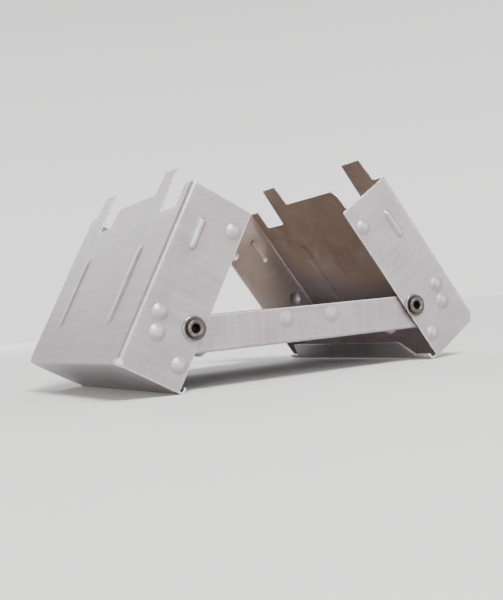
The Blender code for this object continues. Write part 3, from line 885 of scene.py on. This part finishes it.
def rivet_profile():
    """The rivet's section: flat head inside, shank, rolled rim outside, blind bore."""
    head_top = TRAY_HALF_WIDTH - SHEET - STACK_GAP
    roll = (RIVET_ROLL - RIVET_BORE) / 2
    crown = []
    for k in range(ROLL_STEPS + 1):
        angle = math.pi * k / ROLL_STEPS
        out = ROLL_FOOT + RIVET_ROLL_START + RIVET_ROLL_RISE * math.sin(angle)
        crown.append((out, RIVET_BORE + roll * (1 + math.cos(angle))))
    return [
        (head_top - RIVET_HEAD_HEIGHT, 0.0),
        (head_top - RIVET_HEAD_HEIGHT, RIVET_HEAD_FACE),
        *((head_top - up, RIVET_HEAD - inset) for up, inset in RIVET_HEAD_EDGE),
        (head_top, RIVET_RADIUS),
        (ROLL_FOOT, RIVET_RADIUS),
        (ROLL_FOOT, RIVET_ROLL - RIVET_ROLL_TUCK),
        *crown,
        *((head_top + up, RIVET_BORE * share) for up, share in RIVET_BORE_END),
    ]


def washer_profile():
    inner = WING_HALF_WIDTH + STACK_GAP
    outer = inner + WASHER_THICKNESS
    bore = RIVET_RADIUS + STACK_GAP
    return [
        (inner, bore),
        (inner, WASHER_RADIUS - WASHER_BREAK),
        (inner + WASHER_BREAK, WASHER_RADIUS),
        *((outer - down, WASHER_RADIUS - inset) for down, inset in WASHER_EDGE),
        (outer, bore + WASHER_BORE_BREAK),
        (outer - WASHER_BREAK, bore),
    ]


def rivet_darkening(radius, out):
    """How much darker the rivet is painted, 0 to 1: least on the head inside, most in the bore and at the
    foot of the rolled rim.
    """
    if out < TRAY_HALF_WIDTH - SHEET:
        return 0.2
    if radius < RIVET_BORE + 0.05 and out < ROLL_FOOT + 0.3:
        return 0.9
    return 0.8 if out < ROLL_FOOT + 0.1 else 0.65


def washer_darkening(radius, out):
    """How much darker the washer is painted, 0 to 0.7: most beside the rivet."""
    return min(max(1.0 - (radius - RIVET_RADIUS) / 0.9, 0.0), 1.0) * 0.7


def add_hardware(rivet_material, washer_material):
    for side_name, side in (("left", -1), ("right", 1)):
        for face_name, turn in (("front", math.pi), ("back", 0.0)):
            place = f"{face_name}_{side_name}"
            at = (side * HINGE_X, 0, HINGE_HEIGHT)
            about = Matrix.Rotation(turn, 3, "Z")
            rivet = turned(f"rivet_{place}", rivet_profile(), rivet_darkening, False)
            show(rivet, rivet_material, "tray", [f"hinge_rivet_{place}"], at, about)
            washer = turned(f"washer_{place}", washer_profile(), washer_darkening, True)
            show(washer, washer_material, "tray", [f"hinge_washer_{place}"], at, about)


def add_tablet(material):
    """The tablet: the CAD slab's two steps, with rounder edges."""
    low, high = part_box("fuel_tablet")
    half_length, half_width = (high.x - low.x) / 2 / MM, (high.y - low.y) / 2 / MM
    height = (high.z - low.z) / MM
    top = ((height - below, inset) for below, inset in TABLET_TOP)
    largest, least = TABLET_CORNER
    slab = bmesh.new()
    loops = []
    for level, inset in (*TABLET_FOOT, *TABLET_STEP, *top):
        half_x, half_y = half_length - inset, half_width - inset
        corners = [(half_x, half_y), (-half_x, half_y), (-half_x, -half_y), (half_x, -half_y)]
        ring = rounded(corners, max(largest - inset, least), TABLET_CORNER_STEPS)
        loops.append([slab.verts.new((p.x, p.y, level)) for p in ring])
    for below, above in zip(loops, loops[1:]):
        for k in range(len(below)):
            slab.faces.new((below[k - 1], below[k], above[k], above[k - 1]))
    slab.faces.new(loops[0])
    slab.faces.new(loops[-1])
    bmesh.ops.recalc_face_normals(slab, faces=slab.faces[:])
    for v in slab.verts:
        v.co = (Vector(v.co) * MM) + Vector((0, 0, low.z))
    mesh = bpy.data.meshes.new("fuel_tablet_pressed")
    slab.to_mesh(mesh)
    slab.free()
    return show(mesh, material, "fuel", ["fuel_tablet"], (0, 0, 0), Matrix.Identity(3))


wing_steel = sheet_steel("wing_zinc", WING_ZINC)
tray_steel = sheet_steel("tray_zinc", TRAY_ZINC)
rivet_steel = turned_steel("rivet_bright", RIVET_STEEL, RIVET_DARKENED, 0.30, 4.0, RIVET_HEAD)
washer_steel = turned_steel("washer_dark", WASHER_PAINTED_REFLECTION, WASHER_DARKENED, 0.26, 6.0, WASHER_RADIUS)
add_wing("left", -1, wing_steel)
add_wing("right", 1, wing_steel)
add_tray(tray_steel)
add_hardware(rivet_steel, washer_steel)
add_tablet(pressed_fuel("fuel_white"))


# Stage, lights and camera

floor_mesh = bpy.data.meshes.new("studio_floor")
disc = bmesh.new()
bmesh.ops.create_circle(disc, cap_ends=True, segments=96, radius=FLOOR_RADIUS)
disc.to_mesh(floor_mesh)
disc.free()
floor_mesh.materials.append(studio_floor())
floor = bpy.data.objects.new("studio_floor", floor_mesh)
bpy.context.scene.collection.objects.link(floor)

world = bpy.data.worlds.new("studio_world")
bpy.context.scene.world = world
world.use_nodes = True
sky = world.node_tree.nodes
background = sky["Background"]
direction = sky.new("ShaderNodeTexCoord").outputs["Generated"]
rise = sky.new("ShaderNodeSeparateXYZ")
ramp = sky.new("ShaderNodeMapRange")
ramp.interpolation_type = "SMOOTHSTEP"
for socket, value in (("From Min", 0.0), ("From Max", SKY_FADE), ("To Min", HORIZON), ("To Max", ZENITH)):
    ramp.inputs[socket].default_value = value
world.node_tree.links.new(direction, rise.inputs[0])
world.node_tree.links.new(rise.outputs["Z"], ramp.inputs["Value"])
world.node_tree.links.new(ramp.outputs["Result"], background.inputs["Strength"])
background.inputs["Color"].default_value = (*BACKDROP, 1)


def soft_light(name, place, power, size, colour=(1, 1, 1)):
    light = bpy.data.lights.new(name, "AREA")
    light.shape = "DISK"
    light.size = size
    light.energy = power
    light.color = colour
    lamp = bpy.data.objects.new(name, light)
    lamp.location = place
    lamp.rotation_mode = "QUATERNION"
    lamp.rotation_quaternion = (-Vector(place)).to_track_quat("-Z", "Y")
    bpy.context.scene.collection.objects.link(lamp)


soft_light("key", (-0.15, -0.95, 1.10), 36, 0.6, KEY_TINT)
soft_light("fill", (0.95, -0.75, 0.50), 5, 0.7)
soft_light("front", (-0.68, -1.05, 0.08), 7.5, 0.7)
soft_light("back", (0.25, 1.02, 0.50), 12, 0.9, BACK_TINT)

camera_data = bpy.data.cameras.new("camera")
camera_data.sensor_width = SENSOR
camera_data.lens = LENS
camera_data.shift_x = 0.02
camera_data.shift_y = -0.01
camera = bpy.data.objects.new("camera", camera_data)
bpy.context.scene.collection.objects.link(camera)
towards_camera = Vector((
    -math.sin(AZIMUTH) * math.cos(ELEVATION),
    -math.cos(AZIMUTH) * math.cos(ELEVATION),
    math.sin(ELEVATION),
))
look_at = Vector((0, 0, (HINGE_HEIGHT + LOOK_ABOVE_HINGES) * MM))
camera.location = look_at + towards_camera * DISTANCE
camera.rotation_mode = "QUATERNION"
level_view = (-towards_camera).to_track_quat("-Z", "Y")
camera.rotation_quaternion = level_view @ Matrix.Rotation(-ROLL, 3, "Z").to_quaternion()
camera_data.clip_start = 0.005
camera_data.clip_end = 20
bpy.context.scene.camera = camera
